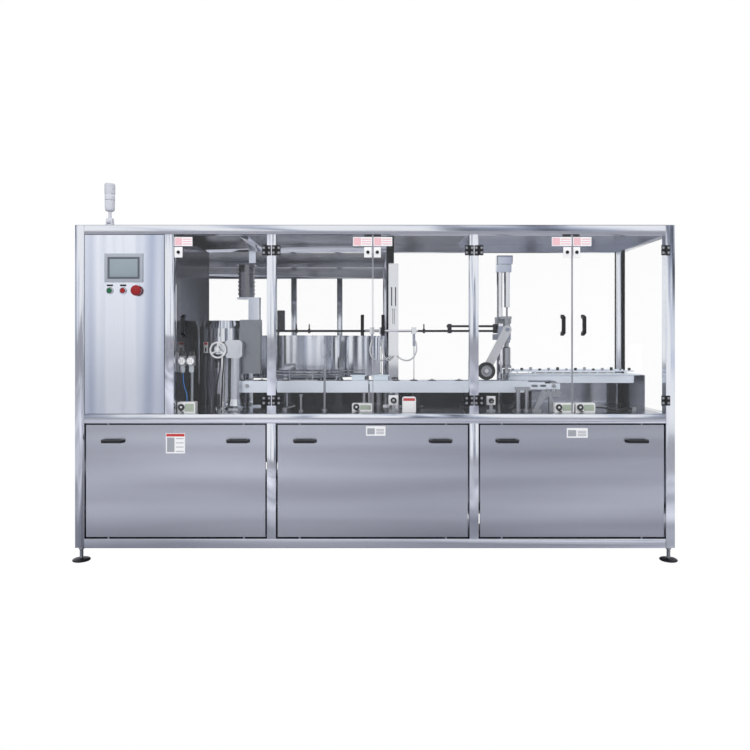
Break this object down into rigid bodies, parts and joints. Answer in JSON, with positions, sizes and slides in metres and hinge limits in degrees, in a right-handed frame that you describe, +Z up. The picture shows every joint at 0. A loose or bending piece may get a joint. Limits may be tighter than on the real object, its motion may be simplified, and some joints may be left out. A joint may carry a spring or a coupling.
{
  "type": "bottle filling and capping machine",
  "caption": "Long stainless filling and capping line machine: doored frame on levelling feet, control cabinet, slat conveyor, drum turntable, filling and capping stations.",
  "frame": {"origin": "bottom centre of the bounding box, on the floor", "axes": "+X to the right along the machine, +Y from the front to the back, +Z up"},
  "size_m": [3.35, 2.6646, 2.084],
  "materials": {
    "polished_steel": "polished stainless tube and sheet",
    "satin_steel": "satin stainless",
    "clear_pane": "clear plastic pane",
    "black_plastic": "black moulded plastic",
    "grey_plastic": "light grey plastic",
    "white_plastic": "white plastic",
    "machined_alloy": "machined aluminium",
    "dark_paint": "dark painted metal",
    "light_paint": "light grey painted metal",
    "green_cap": "green plastic",
    "red_cap": "red plastic",
    "rubber_black": "black rubber",
    "hose_clear": "milky hose",
    "cable_black": "black cable"
  },
  "bodies": {
    "root": {"cabinet_shell": "satin_steel", "cables_and_tubes": "cable_black", "cap_column": "polished_steel", "cap_elevator": "light_paint", "cap_hopper": "polished_steel", "chamber_frame": "polished_steel", "control_modules": "grey_plastic", "conveyor_frame": "satin_steel", "deck_plate": "satin_steel", "deck_units": "satin_steel", "door_hardware": "black_plastic", "drum_stand": "satin_steel", "drum_wall": "polished_steel", "fill_column": "light_paint", "fixed_windows": "clear_pane", "frame_pins": "polished_steel", "guide_rails": "polished_steel", "handwheel_stand": "light_paint", "lamp_foot": "grey_plastic", "levelling_feet": "polished_steel", "main_frame": "polished_steel", "outer_skins": "satin_steel", "outfeed_table": "satin_steel", "slat_chain": "satin_steel", "tie_bars": "dark_paint"},
    "control_door": {"control_door_skin": "satin_steel", "touch_screen": "grey_plastic", "button_collars": "black_plastic"},
    "start_button": {"start_cap": "green_cap"},
    "stop_button": {"stop_cap": "red_cap"},
    "estop_button": {"estop_cap": "red_cap"},
    "lamp": {"tower_lamp": "grey_plastic"},
    "turntable": {"turntable_disc": "polished_steel"},
    "drive_roller": {"main_drive_roller": "machined_alloy"},
    "idler_roller": {"main_idler_roller": "machined_alloy"},
    "chute_carriage": {"chute_box": "light_paint"},
    "hand_wheel": {"handwheel": "white_plastic"},
    "needle_bar": {"nozzle_bar": "polished_steel", "fill_hoses": "hose_clear"},
    "capping_head": {"cap_head": "machined_alloy"},
    "capping_chuck": {"cap_chuck": "machined_alloy"},
    "wheel_arm": {"press_arm": "light_paint"},
    "wheel": {"press_wheel": "rubber_black"},
    "guard_1_door": {"guard_1_pane": "clear_pane", "guard_1_fittings": "black_plastic"},
    "guard_2_left_door": {"guard_2_left_pane": "clear_pane", "guard_2_left_fittings": "black_plastic"},
    "guard_2_right_door": {"guard_2_right_pane": "clear_pane", "guard_2_right_fittings": "black_plastic"},
    "guard_3_left_door": {"guard_3_left_pane": "clear_pane", "guard_3_left_fittings": "black_plastic"},
    "guard_3_right_door": {"guard_3_right_pane": "clear_pane", "guard_3_right_fittings": "black_plastic"},
    "lift_off_panel_1": {"base_panel_1": "satin_steel", "base_handles_1": "black_plastic"},
    "lift_off_panel_2": {"base_panel_2": "satin_steel", "base_handles_2": "black_plastic"},
    "lift_off_panel_3": {"base_panel_3": "satin_steel", "base_handles_3": "black_plastic"}
  },
  "joints": [
    {"name": "control_door_hinge", "type": "hinge", "parent": "root", "child": "control_door", "pos_m": [-1.591, -1.2855, 0], "axis": [0, 0, -1], "range_deg": [0, 110]},
    {"name": "start_press", "type": "slide", "parent": "control_door", "child": "start_button", "axis": [0, 1, 0], "range_m": [0, 0.004], "stiffness_N_per_m": 600},
    {"name": "stop_press", "type": "slide", "parent": "control_door", "child": "stop_button", "axis": [0, 1, 0], "range_m": [0, 0.004], "stiffness_N_per_m": 600},
    {"name": "estop_press", "type": "slide", "parent": "control_door", "child": "estop_button", "axis": [0, 1, 0], "range_m": [0, 0.006], "stiffness_N_per_m": 900},
    {"name": "guard_1_hinge", "type": "hinge", "parent": "root", "child": "guard_1_door", "pos_m": [-0.5965, -1.2965, 0], "axis": [0, 0, 1], "range_deg": [0, 85]},
    {"name": "guard_2_left_hinge", "type": "hinge", "parent": "root", "child": "guard_2_left_door", "pos_m": [-0.5435, -1.2965, 0], "axis": [0, 0, -1], "range_deg": [0, 85]},
    {"name": "guard_2_right_hinge", "type": "hinge", "parent": "root", "child": "guard_2_right_door", "pos_m": [0.5185, -1.2965, 0], "axis": [0, 0, 1], "range_deg": [0, 85]},
    {"name": "guard_3_left_hinge", "type": "hinge", "parent": "root", "child": "guard_3_left_door", "pos_m": [0.5715, -1.2965, 0], "axis": [0, 0, -1], "range_deg": [0, 85]},
    {"name": "guard_3_right_hinge", "type": "hinge", "parent": "root", "child": "guard_3_right_door", "pos_m": [1.5985, -1.2965, 0], "axis": [0, 0, 1], "range_deg": [0, 110]},
    {"name": "panel_1_lift_off", "type": "slide", "parent": "root", "child": "lift_off_panel_1", "axis": [0, -1, 0], "range_m": [0, 0.25]},
    {"name": "panel_2_lift_off", "type": "slide", "parent": "root", "child": "lift_off_panel_2", "axis": [0, -1, 0], "range_m": [0, 0.25]},
    {"name": "panel_3_lift_off", "type": "slide", "parent": "root", "child": "lift_off_panel_3", "axis": [0, -1, 0], "range_m": [0, 0.25]},
    {"name": "lamp_fold", "type": "hinge", "parent": "root", "child": "lamp", "pos_m": [-1.468, -1.2665, 1.876], "axis": [-1, 0, 0], "range_deg": [0, 75]},
    {"name": "turntable_spin", "type": "hinge", "parent": "root", "child": "turntable", "pos_m": [-0.575, 0.0085, 0], "axis": [0, 0, 1], "continuous": true},
    {"name": "drive_spin", "type": "hinge", "parent": "root", "child": "drive_roller", "pos_m": [1.07, -0.9225, 0.945], "axis": [0, 1, 0], "continuous": true},
    {"name": "idler_spin", "type": "hinge", "parent": "root", "child": "idler_roller", "pos_m": [-0.765, -0.9225, 0.945], "axis": [0, 1, 0], "continuous": true},
    {"name": "chute_height", "type": "slide", "parent": "root", "child": "chute_carriage", "axis": [0, 0, 1], "range_m": [0, 0.03]},
    {"name": "handwheel_turn", "type": "hinge", "parent": "root", "child": "hand_wheel", "pos_m": [-0.921, -1.0555, 1.16], "axis": [0, 1, 0], "range_deg": [0, 2160]},
    {"name": "needle_lift", "type": "slide", "parent": "root", "child": "needle_bar", "axis": [0, 0, 1], "range_m": [0, 0.06]},
    {"name": "head_lift", "type": "slide", "parent": "root", "child": "capping_head", "axis": [0, 0, 1], "range_m": [0, 0.06]},
    {"name": "chuck_spin", "type": "hinge", "parent": "capping_head", "child": "capping_chuck", "pos_m": [0.797, -0.9225, 0], "axis": [0, 0, 1], "continuous": true},
    {"name": "arm_swing", "type": "hinge", "parent": "root", "child": "wheel_arm", "pos_m": [0.794, -0.9638, 1.282], "axis": [0, 1, 0], "range_deg": [0, 22]},
    {"name": "wheel_spin", "type": "hinge", "parent": "wheel_arm", "child": "wheel", "pos_m": [0.664, -0.9858, 1.034], "axis": [0, 1, 0], "continuous": true}
  ],
  "couplings": [
    {"joint": "handwheel_turn", "follows": "chute_height", "rad_per_m": 1256.6},
    {"joint": "idler_spin", "follows": "drive_spin", "ratio": 1}
  ]
}
